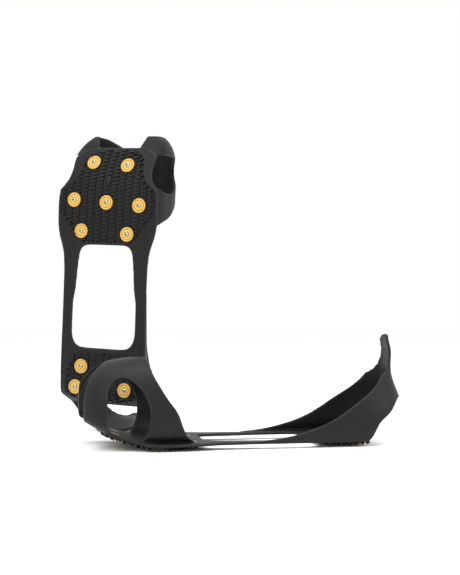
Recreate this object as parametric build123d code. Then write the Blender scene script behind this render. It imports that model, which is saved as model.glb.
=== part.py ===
"""A pair of shoe ice cleats, in the shape they take when stretched over a boot.

The right cleat is built in its own frame: +X towards the toe, +Y to the inner side of
the foot, +Z up, with the stud tips in the plane z = 0 and x = 0 at the back of the heel.
The left cleat is its mirror image. The left one stands flat on its studs, and the right
one stands on its heel band with its sole outwards.
"""
from build123d import *
from math import atan, cos, degrees, hypot, pi, sin, sqrt
import os

# ---- sole ----
STUD_TIP_Z = 0.0
TOOTH_TIP_Z = 1.8
PLATE_BOTTOM_Z = 4.2
PLATE_TOP_Z = 7.2
TOE_RISE_START_X = 240.0
TOE_RISE_SPAN = 60.0
TOE_RISE = 16.0
HEEL_RISE_START_X = 46.0
HEEL_RISE_SPAN = 12.0
HEEL_RISE = 10.0
TOOTH_PITCH = 6.5
GROOVE_PITCH = 8.6
GROOVE_WIDTH = 1.6

# The toe end swings to the inner side of the foot by this much at the tip.
TOE_SWING = 8.0

# Half outlines of the sole, from the centre line outwards: (x, y).
PLATE_HALF_OUTLINE = [
    (297, 22), (294.5, 36), (289, 46.5), (283, 46.5), (276, 45.5), (265, 47), (258, 51.5), (253, 56),
    (240, 57.5), (220, 57.5), (206, 55.5), (194, 51), (182, 48.5), (168, 47), (154, 44.6),
    (116, 44.4), (85, 44.2), (55, 44), (41, 43.2), (35, 41.5), (31, 38),
]
ARCH_HALF_OUTLINE = [
    (196, 24), (191, 30), (177, 32), (150, 34), (138, 36.5), (106, 37), (96, 34.5), (90, 28),
]
TREAD_HALF_OUTLINES = [
    [(296, 20), (290, 30), (285, 34.5), (275, 36.5), (264, 41), (256, 49), (252, 55.5),
     (241, 56.5), (229, 56), (223, 51), (218, 45.5), (208, 39), (200, 34), (197, 29)],
    [(86, 28), (82, 35.6), (66, 42), (53, 44), (40, 42.5), (35, 39.5), (32.5, 33)],
]

# ---- toe cup ----
WALL = 3.0
TOE_TIP_X = 314.0
TOE_ROUND_X = 250.0
TOE_HALF_WIDTH = 53.5
TOE_WIDEST_Z = 34.0
TOE_TOP_HEIGHT = 47.5
TOE_PLAN_POWER = 3.1
TOE_TOP_POWER = 2.6
UPPER_ARC_POWER = 2.25
LOWER_ARC_POWER = 4.5
TOE_SECTION_XS = [196, 214, 232, 250, 262, 274, 284, 292, 299, 305, 310]
TOE_CUP_SIDE = [
    (330, 100), (250, 100), (250, 86), (249, 78), (247.5, 69), (236, 48.5), (225.5, 35),
    (221, 20.5), (216, 11.5), (207, 7.2), (207, 0), (330, 0),
]
TOE_WINDOW_SIDE = [
    (290, 19), (289.5, 53), (286.5, 61), (280, 66.5), (272, 67), (264, 62), (256, 52),
    (251.5, 40), (251, 27), (253.5, 17), (258, 10), (266, 6), (284, 8),
]
WINDOW_PLAN = [
    (288.5, 75), (288.5, 48.6), (284, 47), (276, 45.5), (265, 47), (258, 52), (254.5, 57.5), (254, 75),
]
WINDOW_PLAN_TOP_Z = 30.0
# The open tip, seen from the front as (y, z) and from the side as (x, z).
TIP_OPENING_FRONT = [(17, -5), (21, 16), (29, 28), (32, 38), (31, 50), (27, 60), (21, 69), (13, 76), (5, 79)]
TIP_OPENING_SIDE = [(297, -10), (297, 48), (294, 58), (289, 68), (283, 80), (330, 80), (330, -10)]

# ---- heel ----
HEEL_FRONT_X = 162.0
HEEL_ROUND_LENGTH = 55.0
# Height, rearmost outer point, outer half width, and how square the back is in plan.
HEEL_SECTIONS = [
    (2, -3.5, 46.2, 2.3), (14, -3.5, 46.2, 2.3), (28, -2.5, 45, 2.3), (40, -1, 43, 2.3), (50, 2.2, 39.5, 2.35),
    (60, 6.2, 36, 2.5), (68, 8.4, 33.5, 2.7), (78, 9.2, 32, 3.0), (92, 9.2, 31.5, 3.2), (108, 9.2, 31, 3.2),
]
BAND_SIDE = [
    (150, 4.9), (150, 7.6), (135, 8.6), (118, 11.2), (103, 15.2), (90, 19.4), (78, 24.6), (68, 30.4),
    (59, 36.6), (50, 42.6), (41, 48.6), (33, 55), (27, 61.6), (23, 68), (-15, 68), (-15, 44), (4, 44),
    (8, 42.5), (11.5, 38.5), (18.5, 30.5), (26.5, 25), (31.2, 20.5), (34, 15.7), (38, 10.1), (44, 4.9),
]
PULL_TAB_REAR = [(27, 60), (24.8, 66.4), (16.5, 74), (12.5, 84), (10.5, 99), (8, 103.8), (4, 105.3)]
PULL_TAB_MAX_X = 26.0

# ---- where the moulding bends ----
SOLE_FLEX_X = 185.0
FLEX_GAP = 0.4
BAND_CUT_LOW = (29.0, 20.0)
BAND_CUT_HIGH = (49.0, 46.0)

# ---- studs ----
STUDS = {
    "toe_stud_inner": (279, 18), "toe_stud_outer": (282, -22),
    "ball_stud_inner": (237, 37.5), "ball_stud_middle": (239.5, 0), "ball_stud_outer": (242, -37.5),
    "waist_stud_inner": (207.5, 25), "waist_stud_outer": (210, -28),
    "heel_front_stud_inner": (70.5, 22.5), "heel_front_stud_outer": (70.5, -22.5),
    "heel_rear_stud_inner": (49, 28.5), "heel_rear_stud_outer": (49, -28.5),
}
DISC_RADIUS = 7.5
DISC_RIM_WIDTH = 1.4
DISC_GROOVE_DEPTH = 0.5
DISC_GROOVE_INNER_RADIUS = 3.6
DISC_BOTTOM_Z = 1.5
DISC_TOP_Z = 4.6
PIN_TIP_RADIUS = 1.1
PIN_SHANK_RADIUS = 2.3
PIN_HEAD_RADIUS = 5.5
PIN_HEAD_BOTTOM_Z = 5.4
PIN_HEAD_TOP_Z = 6.8
POCKET_CLEARANCE = 0.05

# ---- the pair ----
FLAT_HEEL_X = 160.0
UPRIGHT_X = -127.3
UPRIGHT_Y = 101.4
UPRIGHT_YAW = -33.75
UPRIGHT_LEAN = 0.95
UPRIGHT_ROLL = 2.8

REACH = 400.0
CORNER_REACH = 4.0
CORNER_ROUNDS = 2


def toe_rise(x):
    ahead = max(0.0, x - TOE_RISE_START_X) / TOE_RISE_SPAN
    behind = max(0.0, HEEL_RISE_START_X - x) / HEEL_RISE_SPAN
    return TOE_RISE * ahead ** 2 + HEEL_RISE * behind ** 2


def swing(x):
    """Sideways shift of the foot's middle line towards the big toe."""
    ahead = max(0.0, x - TOE_ROUND_X) / (TOE_TIP_X - TOE_ROUND_X)
    return TOE_SWING * ahead ** 2


def rounded(outline):
    """The same closed outline with its corners cut off, a little more each round."""
    for _ in range(CORNER_ROUNDS):
        softer = []
        for (ax, ay), (bx, by) in zip(outline, outline[1:] + outline[:1]):
            share = min(0.25, CORNER_REACH / hypot(bx - ax, by - ay))
            for part in (share, 1 - share):
                softer.append((ax + (bx - ax) * part, ay + (by - ay) * part))
        outline = softer
    return outline


def plan_face(half_outline, soften):
    """Closed face on both sides of the foot's middle line."""
    inner = [(x, y + swing(x)) for x, y in half_outline]
    outer = [(x, swing(x) - y) for x, y in reversed(half_outline)]
    outline = rounded(inner + outer) if soften else inner + outer
    return make_face(Polyline(*outline, close=True))


def plan_prism(half_outline, soften=True, bottom=-20.0, height=140.0):
    return Pos(0, 0, bottom) * extrude(plan_face(half_outline, soften), height)


def side_prism(outline, half_width=REACH):
    """Solid from an outline given as (x, z), running across the foot."""
    face = Plane.XZ * make_face(Polyline(*outline, close=True))
    return extrude(face, half_width, both=True)


def sole_layer(bottom, top, x_from, x_to):
    """Sheet that follows the rise of the toe and of the heel."""
    count = 40
    xs = [x_from + (x_to - x_from) * i / count for i in range(count + 1)]
    lower = [(x, bottom + toe_rise(x)) for x in xs]
    upper = [(x, top + toe_rise(x)) for x in reversed(xs)]
    return side_prism(lower + upper)


def tooth_layer(x_from, x_to):
    """Row of triangular teeth across the foot."""
    count = round((x_to - x_from) / TOOTH_PITCH)
    pitch = (x_to - x_from) / count
    root = PLATE_BOTTOM_Z + 0.3
    lower = []
    for i in range(count):
        x = x_from + i * pitch
        lower.append((x, root + toe_rise(x)))
        lower.append((x + 0.35 * pitch, TOOTH_TIP_Z + toe_rise(x + 0.35 * pitch)))
        lower.append((x + 0.65 * pitch, TOOTH_TIP_Z + toe_rise(x + 0.65 * pitch)))
    lower.append((x_to, root + toe_rise(x_to)))
    steps = 24
    upper = []
    for i in range(steps + 1):
        x = x_to + (x_from - x_to) * i / steps
        upper.append((x, root + 1.2 + toe_rise(x)))
    return side_prism(lower + upper)


def tread(half_outline):
    """Textured patch: teeth in columns that run along the foot."""
    xs = [x for x, y in half_outline]
    teeth = tooth_layer(min(xs), max(xs)) & plan_prism(half_outline, soften=False)
    widest = max(y for x, y in half_outline)
    count = int(widest / GROOVE_PITCH)
    for i in range(-count, count + 1):
        teeth = teeth - Pos(200, i * GROOVE_PITCH, 0) * Box(REACH, GROOVE_WIDTH, REACH)
    return teeth


def closed_spline(points):
    return make_face(Spline(*points, periodic=True))


def toe_section(x, grow):
    """Cross-section of the boot's toe at x, enlarged by grow."""
    reach = min(1.0, max(0.0, x - TOE_ROUND_X) / (TOE_TIP_X + grow - TOE_ROUND_X))
    half_width = (TOE_HALF_WIDTH + grow) * (1 - reach ** TOE_PLAN_POWER) ** (1 / TOE_PLAN_POWER)
    up = (TOE_TOP_HEIGHT + grow) * (1 - reach ** TOE_TOP_POWER) ** (1 / TOE_TOP_POWER)
    bottom = min(PLATE_TOP_Z + toe_rise(x), TOE_WIDEST_Z - 5.0) - grow
    down = TOE_WIDEST_Z - bottom
    points = []
    for i in range(28):
        angle = 2 * pi * i / 28
        c, s = cos(angle), sin(angle)
        power = UPPER_ARC_POWER if s >= 0 else LOWER_ARC_POWER
        y = half_width * abs(c) ** (2 / power) * (1 if c >= 0 else -1)
        z = TOE_WIDEST_Z + (up if s >= 0 else down) * abs(s) ** (2 / power) * (1 if s >= 0 else -1)
        points.append((x, y + swing(x), z))
    return closed_spline(points)


def toe_form(grow):
    return loft([toe_section(x, grow) for x in TOE_SECTION_XS])


def toe_cup():
    """Rubber over the toes, with its side windows and its open tip."""
    shell = toe_form(WALL) - toe_form(0.0)
    shell = shell & side_prism(rounded(TOE_CUP_SIDE))
    shell = shell - side_prism(rounded(TOE_WINDOW_SIDE))
    for side in (1, -1):
        outline = rounded([(x, swing(x) + side * y) for x, y in WINDOW_PLAN])
        shell = shell - extrude(make_face(Polyline(*outline, close=True)), WINDOW_PLAN_TOP_Z)
    middle = swing(TIP_OPENING_SIDE[0][0])
    left = [(middle + y, z) for y, z in TIP_OPENING_FRONT]
    right = [(middle - y, z) for y, z in reversed(TIP_OPENING_FRONT)]
    tip = extrude(Plane.YZ * make_face(Polyline(*rounded(left + right), close=True)), REACH)
    shell = shell - (tip & side_prism(rounded(TIP_OPENING_SIDE)))
    return shell


def heel_section_face(z, rear, half_width, power, shrink):
    rear = rear + shrink
    half_width = half_width - shrink
    length = HEEL_ROUND_LENGTH
    straight = 2
    round_x = rear + length
    points = [(HEEL_FRONT_X + (round_x - HEEL_FRONT_X) * i / straight, half_width, z) for i in range(straight)]
    steps = 14
    for i in range(steps + 1):
        angle = pi / 2 - pi * i / steps
        c, s = cos(angle), sin(angle)
        x = rear + length - length * abs(c) ** (2 / power)
        y = half_width * abs(s) ** (2 / power) * (1 if s >= 0 else -1)
        points.append((x, y, z))
    points += [(x, -y, z) for x, y, z in reversed(points[:straight])]
    curve = Spline(*points)
    return make_face(curve + Line(points[-1], points[0]))


def heel_shell():
    outer = loft([heel_section_face(*section, 0.0) for section in HEEL_SECTIONS])
    inner = loft([heel_section_face(*section, WALL) for section in HEEL_SECTIONS])
    opened = Pos(HEEL_FRONT_X, 0, 50) * Box(14, REACH, REACH)
    return outer - inner - opened


def pull_tab(shell):
    left = [(y, z) for y, z in PULL_TAB_REAR]
    right = [(-y, z) for y, z in reversed(PULL_TAB_REAR)]
    outline = rounded(left + right)
    tongue = extrude(Plane.YZ * make_face(Polyline(*outline, close=True)), PULL_TAB_MAX_X, both=True)
    return shell & tongue


def behind_band_cut(offset):
    """Half space behind the cut across the wings, moved rearwards by offset."""
    (x0, z0), (x1, z1) = BAND_CUT_LOW, BAND_CUT_HIGH
    length = sqrt((x1 - x0) ** 2 + (z1 - z0) ** 2)
    ux, uz = (x1 - x0) / length, (z1 - z0) / length
    nx, nz = -uz, ux
    px, pz = x0 + nx * offset, z0 + nz * offset
    corners = [
        (px - ux * REACH, pz - uz * REACH), (px + ux * REACH, pz + uz * REACH),
        (px + (ux + nx) * REACH, pz + (uz + nz) * REACH), (px + (nx - ux) * REACH, pz + (nz - uz) * REACH),
    ]
    return side_prism(corners)


def stud_place(x, y):
    """Frame of a stud: its axis stands square to the sole at x."""
    slope = 0.0
    if x > TOE_RISE_START_X:
        slope = 2 * TOE_RISE * (x - TOE_RISE_START_X) / TOE_RISE_SPAN ** 2
    return Pos(x, y + swing(x), toe_rise(x)) * Rot(0, -degrees(atan(slope)), 0)


def column(radius, bottom, top):
    return Pos(0, 0, bottom) * Cylinder(radius, top - bottom, align=(Align.CENTER, Align.CENTER, Align.MIN))


def stud_pockets():
    """Space one stud takes in the sole."""
    room = column(DISC_RADIUS + POCKET_CLEARANCE, -8, DISC_TOP_Z)
    room += column(PIN_SHANK_RADIUS + POCKET_CLEARANCE, -8, 30)
    room += column(PIN_HEAD_RADIUS + POCKET_CLEARANCE, PIN_HEAD_BOTTOM_Z, 16)
    return room


def stud_disc():
    disc = column(DISC_RADIUS, DISC_BOTTOM_Z, DISC_TOP_Z)
    groove_outer = DISC_RADIUS - DISC_RIM_WIDTH
    groove = column(groove_outer, DISC_BOTTOM_Z - 1, DISC_BOTTOM_Z + DISC_GROOVE_DEPTH)
    groove -= column(DISC_GROOVE_INNER_RADIUS, DISC_BOTTOM_Z - 2, DISC_TOP_Z)
    disc = disc - groove - column(PIN_SHANK_RADIUS + POCKET_CLEARANCE, -8, 30)
    return disc


def stud_pin():
    tip = Pos(0, 0, 0.5 * (STUD_TIP_Z + DISC_BOTTOM_Z)) * Rot(180, 0, 0) * Cone(
        PIN_SHANK_RADIUS, PIN_TIP_RADIUS, DISC_BOTTOM_Z - STUD_TIP_Z
    )
    shank = column(PIN_SHANK_RADIUS, DISC_BOTTOM_Z, PIN_HEAD_TOP_Z)
    head = column(PIN_HEAD_RADIUS, PIN_HEAD_BOTTOM_Z, PIN_HEAD_TOP_Z)
    return tip + shank + head


def moulding():
    """The rubber moulding as three pieces that meet at the bending lines."""
    plate = sole_layer(PLATE_BOTTOM_Z, PLATE_TOP_Z, 30, 300) & plan_prism(PLATE_HALF_OUTLINE)
    plate = plate - plan_prism(ARCH_HALF_OUTLINE)
    for outline in TREAD_HALF_OUTLINES:
        plate = plate + tread(outline)
    shell = heel_shell()
    band_side = side_prism(rounded(BAND_SIDE))
    wrap = (shell & band_side) + pull_tab(shell)
    rear_half = behind_band_cut(FLEX_GAP / 2)
    band = wrap & rear_half
    wings = wrap - behind_band_cut(-FLEX_GAP / 2)
    front_room = Pos(SOLE_FLEX_X + FLEX_GAP / 2 + REACH / 2, 0, 0) * Box(REACH, REACH, REACH)
    rear_room = Pos(SOLE_FLEX_X - FLEX_GAP / 2 - REACH / 2, 0, 0) * Box(REACH, REACH, REACH)
    forefoot = (plate & front_room) + toe_cup()
    heel = (plate & rear_room) + wings
    for name, (x, y) in STUDS.items():
        room = stud_place(x, y) * stud_pockets()
        if x > SOLE_FLEX_X:
            forefoot = forefoot - room
        else:
            heel = heel - room
    return {"forefoot_section": forefoot, "heel_section": heel, "heel_band": band}


def cleat():
    """All pieces of one cleat in its own frame, by name."""
    pieces = moulding()
    for name, (x, y) in STUDS.items():
        pieces[name + "_disc"] = stud_place(x, y) * stud_disc()
        pieces[name + "_pin"] = stud_place(x, y) * stud_pin()
    return pieces


def single_solid(shape):
    """The biggest solid of a shape; a boolean may leave slivers beside it."""
    return max(shape.solids(), key=lambda solid: solid.volume)


def flat_place():
    return Pos(FLAT_HEEL_X, 0, 0) * Rot(0, 0, 180)


def upright_place():
    """Toe up: the cleat's X runs up, its Y to the right and its Z away from the front."""
    stand = Location(Plane(origin=(0, 0, 0), x_dir=(0, 0, 1), z_dir=(0, 1, 0)))
    turn = Rot(0, 0, UPRIGHT_YAW) * Rot(UPRIGHT_LEAN, 0, 0) * Rot(0, UPRIGHT_ROLL, 0)
    return Pos(UPRIGHT_X, UPRIGHT_Y, 0) * turn * stand


def main():
    os.makedirs("parts", exist_ok=True)
    pieces = {name: single_solid(shape) for name, shape in cleat().items()}
    pair = {}
    for name, solid in pieces.items():
        pair["left_" + name] = flat_place() * mirror(solid, about=Plane.XZ)
        pair["right_" + name] = upright_place() * solid
    upright = [shape for name, shape in pair.items() if name.startswith("right_")]
    drop = min(shape.bounding_box().min.Z for shape in upright)
    for name in pair:
        if name.startswith("right_"):
            pair[name] = Pos(0, 0, -drop) * pair[name]
    boxes = [shape.bounding_box() for shape in pair.values()]
    middle_x = 0.5 * (min(b.min.X for b in boxes) + max(b.max.X for b in boxes))
    middle_y = 0.5 * (min(b.min.Y for b in boxes) + max(b.max.Y for b in boxes))
    for name, shape in pair.items():
        placed = Pos(-middle_x, -middle_y, 0) * shape
        export_step(placed, os.path.join("parts", name + ".step"))
        print(name, round(placed.volume, 1))
    print("shift to the middle", round(-middle_x, 3), round(-middle_y, 3), "drop", round(-drop, 3))


main()
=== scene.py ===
# %% [markdown]
# # Shoe ice cleats
# This lesson gives a pair of rubber ice cleats its finished looks around the fixed CAD frame.
# One cleat is modelled in its own frame, in millimetres: X towards the toe, Y to the inner
# side of the foot, Z up, with the stud tips at z = 0. The finished pieces are then placed
# twice: on the left cleat, which lies flat, and on the right one, which stands on its heel.

# %%
import bpy
import math
import numpy as np
from mathutils import Matrix, Vector


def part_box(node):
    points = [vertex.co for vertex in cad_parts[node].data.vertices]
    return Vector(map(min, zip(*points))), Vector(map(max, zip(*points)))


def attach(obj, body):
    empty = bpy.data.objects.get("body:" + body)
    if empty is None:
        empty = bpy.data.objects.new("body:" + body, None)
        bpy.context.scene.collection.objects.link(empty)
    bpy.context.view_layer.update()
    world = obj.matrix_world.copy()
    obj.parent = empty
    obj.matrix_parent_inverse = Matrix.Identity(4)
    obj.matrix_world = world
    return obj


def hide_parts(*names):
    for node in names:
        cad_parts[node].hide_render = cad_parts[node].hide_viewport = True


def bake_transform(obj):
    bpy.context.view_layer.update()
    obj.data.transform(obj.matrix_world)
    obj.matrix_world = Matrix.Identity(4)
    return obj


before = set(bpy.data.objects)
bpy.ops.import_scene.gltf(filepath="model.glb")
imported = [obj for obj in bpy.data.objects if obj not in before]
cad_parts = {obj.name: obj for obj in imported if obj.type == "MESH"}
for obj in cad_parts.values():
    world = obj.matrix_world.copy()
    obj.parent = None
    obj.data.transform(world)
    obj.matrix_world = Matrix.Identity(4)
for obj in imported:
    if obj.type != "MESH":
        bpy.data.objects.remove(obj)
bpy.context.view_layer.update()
print("frame loaded, nodes:", len(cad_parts))

# %% [markdown]
# ## Dimensions
# These are the sole's driving sizes in millimetres. They are the CAD part's own, except
# that the tread's teeth reach a little lower here, to give the tread its full depth.
# A rise or swing is given as its amount, the x where it starts and the length it takes.

# %%
MM = 0.001
PLATE_BOTTOM = 4.2
TOOTH_TIP = 1.0
TOE_RISE = (16.0, 240.0, 60.0)
HEEL_RISE = (10.0, 46.0, 12.0)
TOE_SWING = (8.0, 250.0, 64.0)
STUDS = {
    "toe_stud_inner": (279, 18), "toe_stud_outer": (282, -22),
    "ball_stud_inner": (237, 37.5), "ball_stud_middle": (239.5, 0),
    "ball_stud_outer": (242, -37.5),
    "waist_stud_inner": (207.5, 25), "waist_stud_outer": (210, -28),
    "heel_front_stud_inner": (70.5, 22.5), "heel_front_stud_outer": (70.5, -22.5),
    "heel_rear_stud_inner": (49, 28.5), "heel_rear_stud_outer": (49, -28.5),
}
STUD_CENTRE_HEIGHT = 3.05
SIDES = ("left", "right")


def rise(x):
    """Height the sole gains at x, at the toe and at the back of the heel."""
    toe = TOE_RISE[0] * max(0.0, (x - TOE_RISE[1]) / TOE_RISE[2]) ** 2
    heel = HEEL_RISE[0] * max(0.0, (HEEL_RISE[1] - x) / HEEL_RISE[2]) ** 2
    return toe + heel


def swing(x):
    """Sideways shift of the foot's middle line at x."""
    return TOE_SWING[0] * max(0.0, (x - TOE_SWING[1]) / TOE_SWING[2]) ** 2


def toe_slope(x):
    """Slope of the sole at x, where it rises to the toe."""
    return 2 * TOE_RISE[0] * max(0.0, x - TOE_RISE[1]) / TOE_RISE[2] ** 2


print("sole rise by the toe studs:", round(rise(STUDS["toe_stud_outer"][0]), 1), "mm")

# %% [markdown]
# ## Where each cleat stands
# The middles of the eleven stud discs, as modelled and as packed, give the matrix that
# takes a point from the cleat's own frame to the row. The left cleat is a mirror image.

# %%
def stud_matrix(x, y):
    """Frame of a stud, square to the sole."""
    tilt = Matrix.Rotation(-math.atan(toe_slope(x)), 4, "Y")
    return Matrix.Translation((x, y + swing(x), rise(x))) @ tilt


def node_middle(name):
    low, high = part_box(name)
    return (Vector(low) + Vector(high)) / 2


def cleat_matrix(side):
    """Matrix that best takes the modelled studs onto the side's packed ones."""
    centre = Vector((0, 0, STUD_CENTRE_HEIGHT))
    own = np.array([stud_matrix(x, y) @ centre for x, y in STUDS.values()])
    row = np.array([node_middle(f"{side}_{name}_disc") for name in STUDS])
    own_middle, row_middle = own.mean(axis=0), row.mean(axis=0)
    u, _, vt = np.linalg.svd((own - own_middle).T @ (row - row_middle))
    wanted = -1.0 if side == "left" else 1.0
    last = wanted * np.sign(np.linalg.det(vt.T @ u.T))
    turn = vt.T @ np.diag([1.0, 1.0, last]) @ u.T
    shift = row_middle - turn @ own_middle * MM
    matrix = Matrix([[*(turn[i] * MM), shift[i]] for i in range(3)] + [[0, 0, 0, 1]])
    worst = max((matrix @ Vector(a) - Vector(b)).length for a, b in zip(own, row))
    print(side, "cleat placed, worst stud error", round(worst / MM, 3), "mm")
    return matrix


PLACE = {side: cleat_matrix(side) for side in SIDES}

# %% [markdown]
# ## Small helpers
# An operator acts on all that is selected, so these select one object first. They enter
# and leave edit mode, apply modifiers, and cut, join or delete pieces.

# %%
def only(obj):
    """Selects one object and nothing else."""
    if bpy.context.object and bpy.context.object.mode != "OBJECT":
        bpy.ops.object.mode_set(mode="OBJECT")
    bpy.ops.object.select_all(action="DESELECT")
    obj.select_set(True)
    bpy.context.view_layer.objects.active = obj
    return obj


def edit(obj):
    only(obj)
    bpy.ops.object.mode_set(mode="EDIT")
    bpy.ops.mesh.select_all(action="SELECT")


def done():
    bpy.ops.object.mode_set(mode="OBJECT")


def apply_all(obj):
    only(obj)
    for modifier in list(obj.modifiers):
        bpy.ops.object.modifier_apply(modifier=modifier.name)


def cut(obj, tool, operation="DIFFERENCE"):
    modifier = obj.modifiers.new("cut", "BOOLEAN")
    modifier.operation = operation
    modifier.solver = "EXACT"
    modifier.object = tool
    apply_all(obj)


def delete(*objs):
    for obj in objs:
        bpy.data.objects.remove(obj)


def join(parts, name):
    only(parts[0])
    for part in parts[1:]:
        part.select_set(True)
    if len(parts) > 1:
        bpy.ops.object.join()
    parts[0].name = name
    return parts[0]


print("selection and joining helpers ready")

# %% [markdown]
# Most pieces start as a cube or as an outline that is extruded. Both are shaped where they
# belong, so that a finished piece has its place in its mesh.

# %%
def add_cube(name, size, centre):
    bpy.ops.object.select_all(action="DESELECT")
    bpy.ops.mesh.primitive_cube_add(size=1)
    obj = bpy.context.object
    obj.name = name
    edit(obj)
    bpy.ops.transform.resize(value=size, center_override=(0, 0, 0))
    bpy.ops.transform.translate(value=centre)
    done()
    return obj


def add_prism(name, outline, bottom, top):
    """Solid from an outline of (x, y) points, made by extruding one face."""
    mesh = bpy.data.meshes.new(name)
    corners = [(x, y, bottom) for x, y in outline]
    mesh.from_pydata(corners, [], [tuple(range(len(outline)))])
    obj = bpy.data.objects.new(name, mesh)
    bpy.context.collection.objects.link(obj)
    edit(obj)
    bpy.ops.mesh.extrude_region_move(TRANSFORM_OT_translate={"value": (0, 0, top - bottom)})
    bpy.ops.mesh.select_all(action="SELECT")
    bpy.ops.mesh.normals_make_consistent(inside=False)
    done()
    return obj


def move_points(obj, rule):
    """Moves each vertex to rule(x, y, z)."""
    for vertex in obj.data.vertices:
        vertex.co = rule(*vertex.co)
    obj.data.update()


def place(obj, side):
    """Takes a finished piece from the cleat's own frame to the row."""
    obj.data.transform(PLACE[side])
    if PLACE[side].determinant() < 0:
        edit(obj)
        bpy.ops.mesh.flip_normals()
        done()
    obj.data.update()


print("shape helpers ready")

# %% [markdown]
# ## The rubber skin
# The real cleat is one moulding with soft edges. The three CAD pieces of the flat cleat are
# copied and merged, and a bent slab takes their plain teeth off. Bridges and rail edges
# fill the gaps between the pieces, and a thin raised pad is put under the forefoot and the
# heel. A voxel remesh and a smoothing then make one skin with rounded edges. A bevel was
# the other choice, but it needs clean edges, and a mesh of small triangles has few.

# %%
VOXEL = 0.9
SMOOTH_ROUNDS = 7
MOULDING = ("forefoot_section", "heel_section", "heel_band")
SLAB_LENGTH, SLAB_WIDTH, SLAB_MIDDLE_X, SLAB_STEPS = 310, 160, 180, 90
SLAB_RISE_END = 300
TEETH_DEPTH = 30
PAD_STEP = 0.5
BRIDGE_SIZE, BRIDGE_AT = (3, 15, 2.6), (185, 40, 5.7)
RAIL_EDGE_BOTTOM, RAIL_EDGE_TOP = 4.5, 7.0
RAIL_EDGE = [(188, 49.6), (178, 48.6), (165, 48.2), (150, 48.1),
             (120, 48), (60, 47.8), (60, 42), (188, 42)]
PADS = {
    "forefoot": [(297, 22), (291, 31.5), (286, 36), (275.5, 38), (265, 42.3), (257, 49.5),
                 (253, 55.8), (241, 57.2), (228.5, 56.4), (221, 51.5), (216, 46.3),
                 (207, 40.3), (198, 35.4)],
    "heel": [(87, 28), (83, 36.5), (66.5, 42.4), (53, 44.3), (41, 43.3), (35, 40.3), (33, 33)],
}


def both_sides(half):
    """Closed outline from the half on the inner side."""
    return half + [(x, -y) for x, y in reversed(half)]


def moulding_copy(node):
    """Merged copy of a CAD piece of the left cleat, in the cleat's own frame."""
    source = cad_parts[f"left_{node}"]
    obj = bpy.data.objects.new(f"copy_{node}", source.data.copy())
    bpy.context.collection.objects.link(obj)
    obj.data.transform(PLACE["left"].inverted())
    obj.data.materials.clear()
    edit(obj)
    bpy.ops.mesh.remove_doubles(threshold=0.002)
    bpy.ops.mesh.normals_make_consistent(inside=False)
    done()
    return obj


def sole_slab(bottom, top):
    """Slab that follows the rise of the sole, between two heights under it."""
    bpy.ops.object.select_all(action="DESELECT")
    bpy.ops.mesh.primitive_grid_add(x_subdivisions=SLAB_STEPS, y_subdivisions=1, size=1)
    slab = bpy.context.object
    edit(slab)
    bpy.ops.transform.resize(value=(SLAB_LENGTH, SLAB_WIDTH, 1), center_override=(0, 0, 0))
    bpy.ops.transform.translate(value=(SLAB_MIDDLE_X, 0, 0))
    done()
    move_points(slab, lambda x, y, z: (x, y, top + rise(min(x, SLAB_RISE_END))))
    edit(slab)
    bpy.ops.mesh.extrude_region_move(TRANSFORM_OT_translate={"value": (0, 0, bottom - top)})
    bpy.ops.mesh.select_all(action="SELECT")
    bpy.ops.mesh.normals_make_consistent(inside=False)
    done()
    return slab


def raised_pad(half):
    """Thin step under the sole that carries the tread, sunk 1 mm into it."""
    outline = [(x, y + swing(x)) for x, y in both_sides(half)]
    pad = add_prism("pad", outline, -10, 40)
    layer = sole_slab(PLATE_BOTTOM - PAD_STEP, PLATE_BOTTOM + 1)
    cut(pad, layer, "INTERSECT")
    delete(layer)
    return pad


print("tread pads:", list(PADS))

# %% [markdown]
# The pieces are cut, joined and remeshed. The heel band has no teeth, so it isn't cut.

# %%
slab = sole_slab(PLATE_BOTTOM - TEETH_DEPTH, PLATE_BOTTOM)
copies = []
for node in MOULDING:
    piece = moulding_copy(node)
    if node != "heel_band":
        cut(piece, slab)
    copies.append(piece)
delete(slab)
fillers = []
for side in (1, -1):
    x, y, z = BRIDGE_AT
    fillers.append(add_cube("bridge", BRIDGE_SIZE, (x, side * y, z)))
for side in (1, -1):
    outline = [(x, side * y) for x, y in RAIL_EDGE]
    fillers.append(add_prism("rail_edge", outline, RAIL_EDGE_BOTTOM, RAIL_EDGE_TOP))
pads = [raised_pad(half) for half in PADS.values()]
skin = join(copies + fillers + pads, "skin")
remesh = skin.modifiers.new("remesh", "REMESH")
remesh.mode = "VOXEL"
remesh.voxel_size = VOXEL
apply_all(skin)
smooth = skin.modifiers.new("smooth", "SMOOTH")
smooth.factor = 0.5
smooth.iterations = SMOOTH_ROUNDS
apply_all(skin)
print("whole skin's faces:", len(skin.data.polygons))

# %% [markdown]
# The skin is cut into three pieces: the forefoot with the toe cup, the rails with the heel,
# and the band with the pull tab. Only the forefoot piece rides on a body.

# %%
SOLE_SEAM_X = 190.0
BAND_PIVOT = Vector((29.0, 0.0, 20.0))
BAND_CUT_DIRECTION = Vector((20.0, 0.0, 26.0)).normalized()
BAND_NORMAL = Vector((-BAND_CUT_DIRECTION.z, 0.0, BAND_CUT_DIRECTION.x))
BAND_SEAM_DISTANCE = 14.0
BAND_SEAM = BAND_PIVOT - BAND_NORMAL * BAND_SEAM_DISTANCE


def keep_side(source, name, cuts):
    """Copy of source with everything beyond the given planes cleared."""
    obj = bpy.data.objects.new(name, source.data.copy())
    bpy.context.collection.objects.link(obj)
    for point, normal in cuts:
        edit(obj)
        bpy.ops.mesh.bisect(plane_co=point, plane_no=normal, clear_outer=True)
        done()
    return obj


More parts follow.
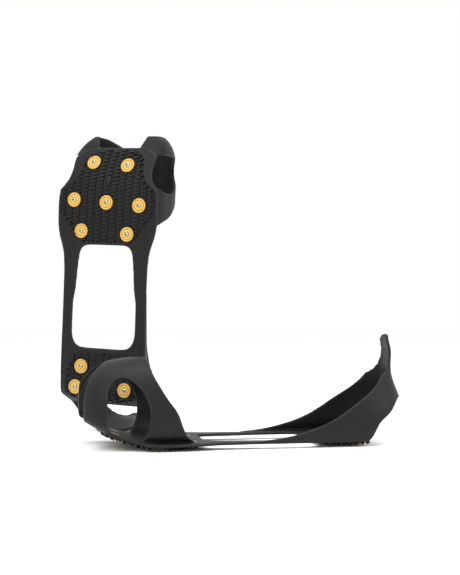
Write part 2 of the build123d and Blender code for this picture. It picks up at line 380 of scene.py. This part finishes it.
sole_plane = (SOLE_SEAM_X, 0, 0)
clear_toe, clear_heel = (sole_plane, (1, 0, 0)), (sole_plane, (-1, 0, 0))
clear_band = (tuple(BAND_SEAM), tuple(BAND_NORMAL))
keep_band = (tuple(BAND_SEAM), tuple(-BAND_NORMAL))
forefoot_skin = keep_side(skin, "forefoot_skin", [clear_heel])
heel_skin = keep_side(skin, "heel_skin", [clear_toe, clear_band])
band_skin = keep_side(skin, "band_skin", [clear_toe, keep_band])
delete(skin)
skins = (forefoot_skin, heel_skin, band_skin)
print("skin faces:", {piece.name: len(piece.data.polygons) for piece in skins})

# %% [markdown]
# ## The tread
# One short bar is made from a cube, tapered and arrayed into columns that run along the
# foot. Thin ridges part the columns. The field is cut to the tread's outline and cleared
# around the studs. It stays flat until all its pieces are made.

# %%
COLUMN_PITCH = 8.5
BAR_PITCH = 3.9
BAR_LENGTH, BAR_GAP, BAR_TAPER = 2.1, 2.2, (0.45, 0.86, 1)
BAR_HEIGHT = 2.6
SUNK = 0.3
RIDGE_STEP, RIDGE_WIDTH, RIDGE_TAPER = 5.0, 1.2, (1, 0.5, 1)
RIDGE_LIFT = 0.25
CLEAR_RADIUS = 8.9
CLEAR_DEPTH = 30
FIELD_BOTTOM, FIELD_TOP = -10, 20
STUD_MARGIN = 9
FIELDS = {
    "forefoot": [(295, 19), (290, 28), (285, 31.5), (275, 33), (264, 37.5), (257, 43),
                 (252, 50), (241, 52), (229, 51.5), (222, 47), (217, 41.5), (208, 36),
                 (201, 32), (199, 27)],
    "heel": [(85, 26), (81, 32), (66, 37.5), (53, 39.5), (42, 38.5), (37, 35), (34, 30)],
}


def array(obj, count, offset):
    modifier = obj.modifiers.new("array", "ARRAY")
    modifier.count = count
    modifier.use_relative_offset = False
    modifier.use_constant_offset = True
    modifier.constant_offset_displace = offset
    apply_all(obj)


def one_bar(length, width, taper):
    """Bar under the sole, sunk a little into it, with its lower face made smaller."""
    middle = PLATE_BOTTOM + SUNK - BAR_HEIGHT / 2
    bar = add_cube("bar", (length, width, BAR_HEIGHT), (0, 0, middle))
    edit(bar)
    bpy.ops.mesh.select_all(action="DESELECT")
    done()
    for face in bar.data.polygons:
        face.select = face.normal.z < -0.9
    only(bar)
    bpy.ops.object.mode_set(mode="EDIT")
    bpy.ops.mesh.select_mode(type="FACE")
    bpy.ops.transform.resize(value=taper, center_override=(0, 0, 0))
    done()
    return bar


print("tread fields:", list(FIELDS))

# %% [markdown]
# Columns stand on both sides of the foot's middle line, and every other one starts half a
# pitch further on. The ridges are short pieces in a row, so that they can follow the bend
# of the sole.

# %%


def column_field(x_from, x_to, half_width):
    """Columns of bars with ridges between them, on a flat field."""
    parts = []
    columns = int(half_width / COLUMN_PITCH) + 1
    rows = int((x_to - x_from) / BAR_PITCH) + 1
    for odd in (0, 1):
        bar = one_bar(BAR_LENGTH, COLUMN_PITCH - BAR_GAP, BAR_TAPER)
        first = -(columns - columns % 2) + odd
        start = (x_from + odd * BAR_PITCH / 2, first * COLUMN_PITCH, 0)
        array(bar, rows, (BAR_PITCH, 0, 0))
        array(bar, columns + 1 - odd, (0, 2 * COLUMN_PITCH, 0))
        move_points(bar, lambda x, y, z, s=start: (x + s[0], y + s[1], z))
        parts.append(bar)
    ridge = one_bar(RIDGE_STEP, RIDGE_WIDTH, RIDGE_TAPER)
    array(ridge, int((x_to - x_from) / RIDGE_STEP) + 2, (RIDGE_STEP, 0, 0))
    array(ridge, 2 * columns + 2, (0, COLUMN_PITCH, 0))
    aside = (columns + 0.5) * COLUMN_PITCH
    move_points(ridge, lambda x, y, z: (x + x_from, y - aside, z + RIDGE_LIFT))
    parts.append(ridge)
    return parts


def follow_sole(x, y, z):
    """Lifts and shifts a point of the flat field as the sole does."""
    return (x, y + swing(x), z + rise(x))


def clear_stud(part, x, y):
    """Cuts the place of a stud out of a part of the field."""
    bpy.ops.object.select_all(action="DESELECT")
    bpy.ops.mesh.primitive_cylinder_add(
        vertices=36, radius=CLEAR_RADIUS, depth=CLEAR_DEPTH, location=(x, y, 0))
    post = bpy.context.object
    only(post)
    bpy.ops.object.transform_apply(location=True)
    cut(part, post)
    delete(post)


def tread(name, half):
    outline = both_sides(half)
    xs = [x for x, y in outline]
    parts = column_field(min(xs), max(xs), max(y for x, y in half))
    prism = add_prism("outline", outline, FIELD_BOTTOM, FIELD_TOP)
    for part in parts:
        cut(part, prism, "INTERSECT")
        for x, y in STUDS.values():
            if min(xs) - STUD_MARGIN < x < max(xs) + STUD_MARGIN:
                clear_stud(part, x, y)
    delete(prism)
    return join(parts, f"{name}_tread")


treads = {name: tread(name, half) for name, half in FIELDS.items()}
print("tread faces:", {name: len(o.data.polygons) for name, o in treads.items()})

# %% [markdown]
# Thin upright teeth stand close together along the edges of the tread. One is made from a
# cube, and the place and turn of each copy come from the outline that it follows.

# %%
TOOTH_PITCH = 6.3
TOOTH_THICKNESS = 0.672
TOOTH_DEPTH = 4.0
TOOTH_SET_IN = 2.5
TOOTH_EDGES = {
    "forefoot": [(295, 21), (290, 30), (285, 34.5), (275, 36.5), (264, 41), (256, 48.5),
                 (252, 54.5), (241, 55.8), (229, 55), (222, 50), (217, 45), (208, 39),
                 (200, 34)],
    "heel": [(84, 30), (81, 35), (66, 41), (53, 43), (42, 42), (36, 39)],
}


def edge_tooth():
    """Thin tooth across the edge, with its middle set in from it."""
    height = PLATE_BOTTOM + SUNK - TOOTH_TIP
    centre = (0, -TOOTH_SET_IN, TOOTH_TIP + height / 2)
    return add_cube("tooth", (TOOTH_THICKNESS, TOOTH_DEPTH, height), centre)


def walk(points, pitch):
    """Places at an even pitch along a path, each with the path's direction."""
    places = []
    left_over = pitch / 2
    for (x0, y0), (x1, y1) in zip(points, points[1:]):
        length = math.hypot(x1 - x0, y1 - y0)
        angle = math.atan2(y1 - y0, x1 - x0)
        at = left_over
        while at <= length:
            x = x0 + (x1 - x0) * at / length
            y = y0 + (y1 - y0) * at / length
            places.append((x, y, angle))
            at += pitch
        left_over = at - length
    return places


def edge_teeth(name, half):
    """Teeth along both edges of a tread, mirrored from one side to the other."""
    master = edge_tooth()
    teeth = []
    for x, y, angle in walk(half, TOOTH_PITCH):
        for side in (1, -1):
            tooth = bpy.data.objects.new("tooth", master.data.copy())
            bpy.context.collection.objects.link(tooth)
            turn = Matrix.Rotation(side * (angle + math.pi), 4, "Z")
            mirror = Matrix.Scale(side, 4, (0, 1, 0))
            tooth.data.transform(Matrix.Translation((x, side * y, 0)) @ turn @ mirror)
            if side < 0:
                edit(tooth)
                bpy.ops.mesh.flip_normals()
                done()
            teeth.append(tooth)
    delete(master)
    return join(teeth, f"{name}_edge_teeth")


print("edge teeth:", {name: 2 * len(walk(half, TOOTH_PITCH)) for name, half in TOOTH_EDGES.items()})

# %% [markdown]
# A row of small teeth closes the tread at its back, a rubber collar stands around each
# stud, and a smooth oval lies in the middle of the forefoot.

# %%
REAR_ROW = {"forefoot": (199.0, 26.0), "heel": (35.0, 27.0)}
REAR_PITCH = 5.2
REAR_TOOTH_LENGTH, REAR_TOOTH_WIDTH, REAR_TAPER = 2.6, 3.4, (0.4, 0.7, 1)
COLLAR_SECTION = [(7.65, 4.6), (7.65, 2.8), (7.85, 2.45), (8.25, 2.35),
                  (8.6, 2.6), (8.75, 3.1), (8.8, 4.6), (7.65, 4.6)]
COLLAR_MARGIN = 2
OVAL_AT, OVAL_SIZE = (263.0, 0.5), (11.0, 5.0, 3.6)
LATHE_STEPS = 48


def turned(name, section):
    """Solid of revolution from half sections (r, z), made as on a lathe."""
    mesh = bpy.data.meshes.new(name)
    count = len(section)
    mesh.from_pydata([(r, 0, z) for r, z in section], [(i, i + 1) for i in range(count - 1)], [])
    obj = bpy.data.objects.new(name, mesh)
    bpy.context.collection.objects.link(obj)
    screw = obj.modifiers.new("lathe", "SCREW")
    screw.steps = LATHE_STEPS
    screw.render_steps = LATHE_STEPS
    screw.use_merge_vertices = True
    screw.merge_threshold = 0.01
    apply_all(obj)
    edit(obj)
    bpy.ops.mesh.remove_doubles(threshold=0.005)
    bpy.ops.mesh.normals_make_consistent(inside=False)
    done()
    return obj


def rear_row(name):
    """Row of teeth across the back of a tread, centred on the foot."""
    x, half_width = REAR_ROW[name]
    tooth = one_bar(REAR_TOOTH_LENGTH, REAR_TOOTH_WIDTH, REAR_TAPER)
    count = 2 * int(half_width / REAR_PITCH) + 1
    array(tooth, count, (0, REAR_PITCH, 0))
    move_points(tooth, lambda a, b, c: (a + x, b - REAR_PITCH / 2 * (count - 1), c))
    return tooth


def collars(name):
    """A rubber ring around each stud of a tread."""
    xs = [x for x, y in FIELDS[name]]
    rings = []
    for x, y in STUDS.values():
        if min(xs) - COLLAR_MARGIN < x < max(xs) + COLLAR_MARGIN:
            ring = turned("collar", COLLAR_SECTION)
            move_points(ring, lambda a, b, c, x=x, y=y: (a + x, b + y, c))
            rings.append(ring)
    return rings


def oval_boss():
    """Flattened sphere, half sunk in the sole."""
    x, y = OVAL_AT
    bpy.ops.object.select_all(action="DESELECT")
    bpy.ops.mesh.primitive_uv_sphere_add(segments=32, ring_count=16, radius=0.5)
    boss = bpy.context.object
    edit(boss)
    bpy.ops.transform.resize(value=OVAL_SIZE, center_override=(0, 0, 0))
    bpy.ops.transform.translate(value=(x, y, PLATE_BOTTOM - PAD_STEP))
    done()
    return boss


print("small tread pieces described")

# %% [markdown]
# All of a tread's pieces are joined, and then lifted together to follow the sole.

# %%
for name, half in TOOTH_EDGES.items():
    extras = [edge_teeth(name, half), rear_row(name), *collars(name)]
    if name == "forefoot":
        extras.append(oval_boss())
    treads[name] = join([treads[name], *extras], f"{name}_tread")
    move_points(treads[name], follow_sole)
print("treads with edge teeth:", {name: len(o.data.polygons) for name, o in treads.items()})

# %% [markdown]
# ## The studs
# A disc and a pin are turned from their half sections on the same lathe as the collars,
# because both are round. The disc has a raised rim and a shallow groove. The pin has a
# broad head inside the rubber and ends in a hard tip.

# %%
DISC_SECTION = [(2.4, 4.5), (7.4, 4.5), (7.45, 2.3), (7.3, 1.85), (6.9, 1.6), (6.3, 1.58),
                (6.0, 1.75), (5.7, 2.15), (5.2, 2.2), (4.8, 1.8), (4.4, 1.62), (3.2, 1.58),
                (2.8, 1.7), (2.5, 2.0), (2.4, 2.2), (2.4, 4.5)]
PIN_SECTION = [(0.0, 6.7), (5.3, 6.7), (5.3, 5.5), (2.28, 5.4), (2.28, 1.7), (2.15, 1.35),
               (1.75, 1.0), (1.2, 0.75), (0.8, 0.62), (0.75, 0.15), (0.65, 0.04), (0.0, 0.03)]

disc = turned("disc", DISC_SECTION)
pin = turned("pin", PIN_SECTION)
print("disc and pin turned:", len(disc.data.polygons), len(pin.data.polygons))

# %% [markdown]
# ## Materials
# The grain and the colour mix, which paints light and shade and the pins' dark tips, are used by
# more than one material, so each is a node group with named sockets. A group puts out only a value
# or a colour that changes over the surface.

# %%
def new_group(name, inputs, outputs):
    """Empty node group with named sockets."""
    group = bpy.data.node_groups.new(name, "ShaderNodeTree")
    for socket, kind, value in inputs:
        item = group.interface.new_socket(socket, in_out="INPUT", socket_type=kind)
        if value is not None:
            item.default_value = value
    for socket, kind in outputs:
        group.interface.new_socket(socket, in_out="OUTPUT", socket_type=kind)
    enter = group.nodes.new("NodeGroupInput")
    leave = group.nodes.new("NodeGroupOutput")
    return group, enter, leave


def grain_group():
    """Fine moulded grain: a height for bump, and a mottling mask."""
    group, enter, leave = new_group(
        "RubberGrain",
        [("Scale", "NodeSocketFloat", 900.0)],
        [("Height", "NodeSocketFloat"), ("Mottle", "NodeSocketFloat")],
    )
    nodes, links = group.nodes, group.links
    coords = nodes.new("ShaderNodeTexCoord")
    fine = nodes.new("ShaderNodeTexNoise")
    fine.inputs["Detail"].default_value = 3.0
    broad = nodes.new("ShaderNodeTexNoise")
    broad.inputs["Scale"].default_value = 55.0
    broad.inputs["Detail"].default_value = 4.0
    links.new(coords.outputs["Object"], fine.inputs["Vector"])
    links.new(coords.outputs["Object"], broad.inputs["Vector"])
    links.new(enter.outputs["Scale"], fine.inputs["Scale"])
    links.new(fine.outputs["Fac"], leave.inputs["Height"])
    links.new(broad.outputs["Fac"], leave.inputs["Mottle"])
    return group


# This mix paints light and shade on the rubber and the discs, and gives the pins their dark tips.
def color_mix_group():
    """Mixes a second colour in where the mask says so, in patches."""
    group, enter, leave = new_group(
        "MaskedColorMix",
        [("Base", "NodeSocketColor", None), ("Second", "NodeSocketColor", None),
         ("Edge", "NodeSocketFloat", 0.0), ("Mottle", "NodeSocketFloat", 0.5),
         ("Amount", "NodeSocketFloat", 0.5)],
        [("Color", "NodeSocketColor")],
    )
    nodes, links = group.nodes, group.links
    patchy = nodes.new("ShaderNodeMath")
    patchy.operation = "MULTIPLY"
    scaled = nodes.new("ShaderNodeMath")
    scaled.operation = "MULTIPLY"
    scaled.use_clamp = True
    mix = nodes.new("ShaderNodeMix")
    mix.data_type = "RGBA"
    links.new(enter.outputs["Edge"], patchy.inputs[0])
    links.new(enter.outputs["Mottle"], patchy.inputs[1])
    links.new(patchy.outputs[0], scaled.inputs[0])
    links.new(enter.outputs["Amount"], scaled.inputs[1])
    links.new(scaled.outputs[0], mix.inputs["Factor"])
    links.new(enter.outputs["Base"], mix.inputs["A"])
    links.new(enter.outputs["Second"], mix.inputs["B"])
    links.new(mix.outputs["Result"], leave.inputs["Color"])
    return group


GRAIN = grain_group()
COLOR_MIX = color_mix_group()
print("node groups:", GRAIN.name, COLOR_MIX.name)

# %% [markdown]
# A material starts from the Principled shader, whose constants stay on its own sockets.
# The grain goes into its normal, and the colour mix group, with its painted light and shade, into
# its colour.

# %%
MASK = "mask"


def new_material(name, color, roughness, metallic=0.0):
    material = bpy.data.materials.new(name)
    material.use_nodes = True
    shader = material.node_tree.nodes["Principled BSDF"]
    shader.inputs["Base Color"].default_value = (*color, 1)
    shader.inputs["Roughness"].default_value = roughness
    shader.inputs["Metallic"].default_value = metallic
    return material, shader


def add_grain(material, shader, scale, strength, distance):
    """Puts the grain group's height into the shader's normal."""
    nodes, links = material.node_tree.nodes, material.node_tree.links
    grain = nodes.new("ShaderNodeGroup")
    grain.node_tree = GRAIN
    grain.inputs["Scale"].default_value = scale
    bump = nodes.new("ShaderNodeBump")
    bump.inputs["Strength"].default_value = strength
    bump.inputs["Distance"].default_value = distance
    links.new(grain.outputs["Height"], bump.inputs["Height"])
    links.new(bump.outputs["Normal"], shader.inputs["Normal"])
    return grain


def masked_color(material, shader, grain, second_color, amount):
    """Mixes the shader's own colour with a second one, led by the mesh's mask."""
    nodes, links = material.node_tree.nodes, material.node_tree.links
    edge = nodes.new("ShaderNodeAttribute")
    edge.attribute_name = MASK
    mixer = nodes.new("ShaderNodeGroup")
    mixer.node_tree = COLOR_MIX
    mixer.inputs["Base"].default_value = shader.inputs["Base Color"].default_value
    mixer.inputs["Second"].default_value = (*second_color, 1)
    mixer.inputs["Amount"].default_value = amount
    links.new(edge.outputs["Fac"], mixer.inputs["Edge"])
    links.new(grain.outputs["Mottle"], mixer.inputs["Mottle"])
    links.new(mixer.outputs["Color"], shader.inputs["Base Color"])


print("material helpers ready")

# %% [markdown]
# The rubber is nearly black and dull, with a painted highlight on its rounded edges and painted
# light on its tread tips. The discs are a yellow plastic with painted shade in the groove. The pins
# are plain steel with a dark, hard tip.

# %%
def rubber_material():
    material, shader = new_material("BlackRubber", (0.0062, 0.0062, 0.006), 0.5)
    grain = add_grain(material, shader, 1400.0, 0.25, 0.0002)
    # Paler rounded edges here are a painted highlight, and paler tread tips are painted light.
    masked_color(material, shader, grain, (0.032, 0.031, 0.03), 0.9)
    shader.inputs["Specular IOR Level"].default_value = 0.2
    return material


def disc_material():
    material, shader = new_material("YellowDisc", (0.58, 0.355, 0.055), 0.42)
    grain = add_grain(material, shader, 2200.0, 0.12, 0.0001)
    # The darker colour in the groove is painted shade.
    masked_color(material, shader, grain, (0.34, 0.18, 0.022), 1.4)
    return material


def steel_material():
    material, shader = new_material("PinSteel", (0.5, 0.49, 0.43), 0.35, 1.0)
    grain = add_grain(material, shader, 3000.0, 0.15, 0.00005)
    masked_color(material, shader, grain, (0.04, 0.04, 0.036), 2.0)
    return material


RUBBER = rubber_material()
DISC_LOOK = disc_material()
STEEL = steel_material()
print("materials:", [m.name for m in (RUBBER, DISC_LOOK, STEEL)])

# %% [markdown]
# A mask on each vertex leads the colours: a painted highlight on rounded edges and painted light
# on the tread tips of the rubber, painted shade in the groove of a disc, and the dark hard tip of a
# pin.

# %%
EDGE_REACH = 0.16
TREAD_TIP_HEIGHT, TREAD_TIP_LIGHT = 2.5, 0.8
GROOVE_HEIGHT = 2.1
PIN_TIP_HEIGHT, PIN_TIP_RADIUS = 0.7, 1.0


def write_mask(mesh, values):
    """Writes one number for each vertex, which the materials read."""
    attribute = mesh.attributes.get(MASK) or mesh.attributes.new(MASK, "FLOAT", "POINT")
    attribute.data.foreach_set("value", np.asarray(values, dtype=np.float32))


def rule_mask(obj, rule):
    """Masks each vertex by rule(x, y, z), from 0 to 1."""
    write_mask(obj.data, [rule(*vertex.co) for vertex in obj.data.vertices])


def edge_mask(obj, reach):
    """Masks the vertices that stand out from their neighbours."""
    mesh = obj.data
    count = len(mesh.vertices)
    points = np.empty(count * 3)
    mesh.vertices.foreach_get("co", points)
    points = points.reshape(-1, 3)
    normals = np.array([v.normal for v in mesh.vertices])
    ends = np.empty(len(mesh.edges) * 2, dtype=np.int64)
    mesh.edges.foreach_get("vertices", ends)
    ends = ends.reshape(-1, 2)
    total = np.zeros((count, 3))
    near = np.zeros(count)
    for a, b in ((0, 1), (1, 0)):
        np.add.at(total, ends[:, a], points[ends[:, b]])
        np.add.at(near, ends[:, a], 1)
    middle = total / np.maximum(near, 1)[:, None]
    out = np.einsum("ij,ij->i", points - middle, normals)
    write_mask(mesh, np.clip(out / reach, 0, 1))


def shade(obj, angle):
    only(obj)
    bpy.ops.object.shade_smooth_by_angle(angle=math.radians(angle))


# Painted light: the tread's tips are made paler than its recesses.
def lit_tread_tips(x, y, z):
    return TREAD_TIP_LIGHT if z < rise(x) + TREAD_TIP_HEIGHT else 0.0


def hard_tip(x, y, z):
    return 1.0 if z < PIN_TIP_HEIGHT and math.hypot(x, y) < PIN_TIP_RADIUS else 0.0


# The skins get a painted highlight on their rounded edges.
for obj in skins:
    shade(obj, 60)
    edge_mask(obj, EDGE_REACH)
# The tread's tips get painted light.
for obj in treads.values():
    shade(obj, 30)
    rule_mask(obj, lit_tread_tips)
shade(disc, 35)
shade(pin, 35)
# The disc's groove gets painted shade.
rule_mask(disc, lambda x, y, z: 1.0 if z > GROOVE_HEIGHT else 0.0)
rule_mask(pin, hard_tip)
print("masked pieces:", len(skins) + len(treads) + 2)

# %% [markdown]
# ## Both cleats
# Every finished piece is copied to the left and the right cleat. The forefoot skin, the
# treads and the studs each ride on one body; the heel and band skins stay where they are put.


def copy_to(master, name, side, material):
    """Finished copy of a piece on one cleat, with its material."""
    obj = bpy.data.objects.new(f"{side}_{name}", master.data.copy())
    bpy.context.collection.objects.link(obj)
    place(obj, side)
    obj.data.materials.clear()
    obj.data.materials.append(material)
    return obj


def place_skins(side, forefoot):
    cup = copy_to(forefoot_skin, "forefoot_skin", side, RUBBER)
    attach(cup, forefoot)
    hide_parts(f"{side}_forefoot_section")
    sole = copy_to(heel_skin, "heel_skin", side, RUBBER)
    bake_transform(sole)
    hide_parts(f"{side}_heel_section")
    strap = copy_to(band_skin, "band_skin", side, RUBBER)
    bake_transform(strap)
    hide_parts(f"{side}_heel_band")


def place_stud(side, name, body):
    looks = ((disc, "disc", DISC_LOOK, "stud_disc"), (pin, "pin", STEEL, "stud_pin"))
    for master, kind, material, slot in looks:
        part = bpy.data.objects.new("stud_part", master.data.copy())
        bpy.context.collection.objects.link(part)
        part.data.transform(stud_matrix(*STUDS[name]))
        piece = copy_to(part, f"{name}_{kind}_look", side, material)
        delete(part)
        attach(piece, body)
        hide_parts(f"{side}_{name}_{kind}")


for side in SIDES:
    heel, forefoot, band = (f"{side}_{body}" for body in ("heel", "forefoot", "band"))
    place_skins(side, forefoot)
    for name, body in (("forefoot", forefoot), ("heel", heel)):
        field = copy_to(treads[name], f"{name}_tread_detail", side, RUBBER)
        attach(field, body)
    for name in STUDS:
        place_stud(side, name, heel if name.startswith("heel") else forefoot)
delete(*skins, disc, pin, *treads.values())

# %% [markdown]
# ## Floor, light and camera
# A pale floor and three soft lights stand in for a product studio. Sizes here are metres.

# %%
bpy.ops.object.select_all(action="DESELECT")
bpy.ops.mesh.primitive_plane_add(size=12)
floor = bpy.context.object
floor.name = "studio_floor"
floor_material, floor_shader = new_material("StudioFloor", (0.97, 0.97, 0.97), 0.9)
floor.data.materials.append(floor_material)


def area_light(name, place_at, aim, size, power):
    light = bpy.data.lights.new(name, "AREA")
    light.shape = "RECTANGLE"
    light.size, light.size_y = size
    light.energy = power
    obj = bpy.data.objects.new(name, light)
    bpy.context.collection.objects.link(obj)
    obj.location = place_at
    towards = Vector(aim) - Vector(place_at)
    obj.rotation_euler = towards.to_track_quat("-Z", "Y").to_euler()


area_light("key_light", (-0.9, -1.1, 1.3), (0, 0, 0.12), (1.2, 1.0), 16)
area_light("fill_light", (1.3, -0.9, 0.8), (0, 0, 0.12), (1.2, 1.0), 10)
area_light("top_light", (0.0, 0.2, 1.8), (0, 0, 0), (1.6, 1.2), 16)

world = bpy.data.worlds.new("studio_world")
bpy.context.scene.world = world
world.use_nodes = True
world.node_tree.nodes["Background"].inputs["Color"].default_value = (1, 1, 1, 1)
world.node_tree.nodes["Background"].inputs["Strength"].default_value = 1.0

print("floor and lights ready")

# %% [markdown]
# The camera looks at the flat cleat's side from a little towards its toe, nearly level. It
# stands well back with a long lens, so both cleats keep their proportions.

# %%
CAMERA_LENS = 76.2
CAMERA_AT = (-0.2284, -1.2169, 0.130)
CAMERA_TILT, CAMERA_TURN = 91.0, -11.0

camera_data = bpy.data.cameras.new("camera")
camera_data.lens = CAMERA_LENS
camera_data.clip_end = 50
camera = bpy.data.objects.new("camera", camera_data)
bpy.context.collection.objects.link(camera)
camera.location = CAMERA_AT
camera.rotation_euler = (math.radians(CAMERA_TILT), 0, math.radians(CAMERA_TURN))
bpy.context.scene.camera = camera
bpy.context.scene.view_settings.view_transform = "Standard"
print("camera at", CAMERA_AT)
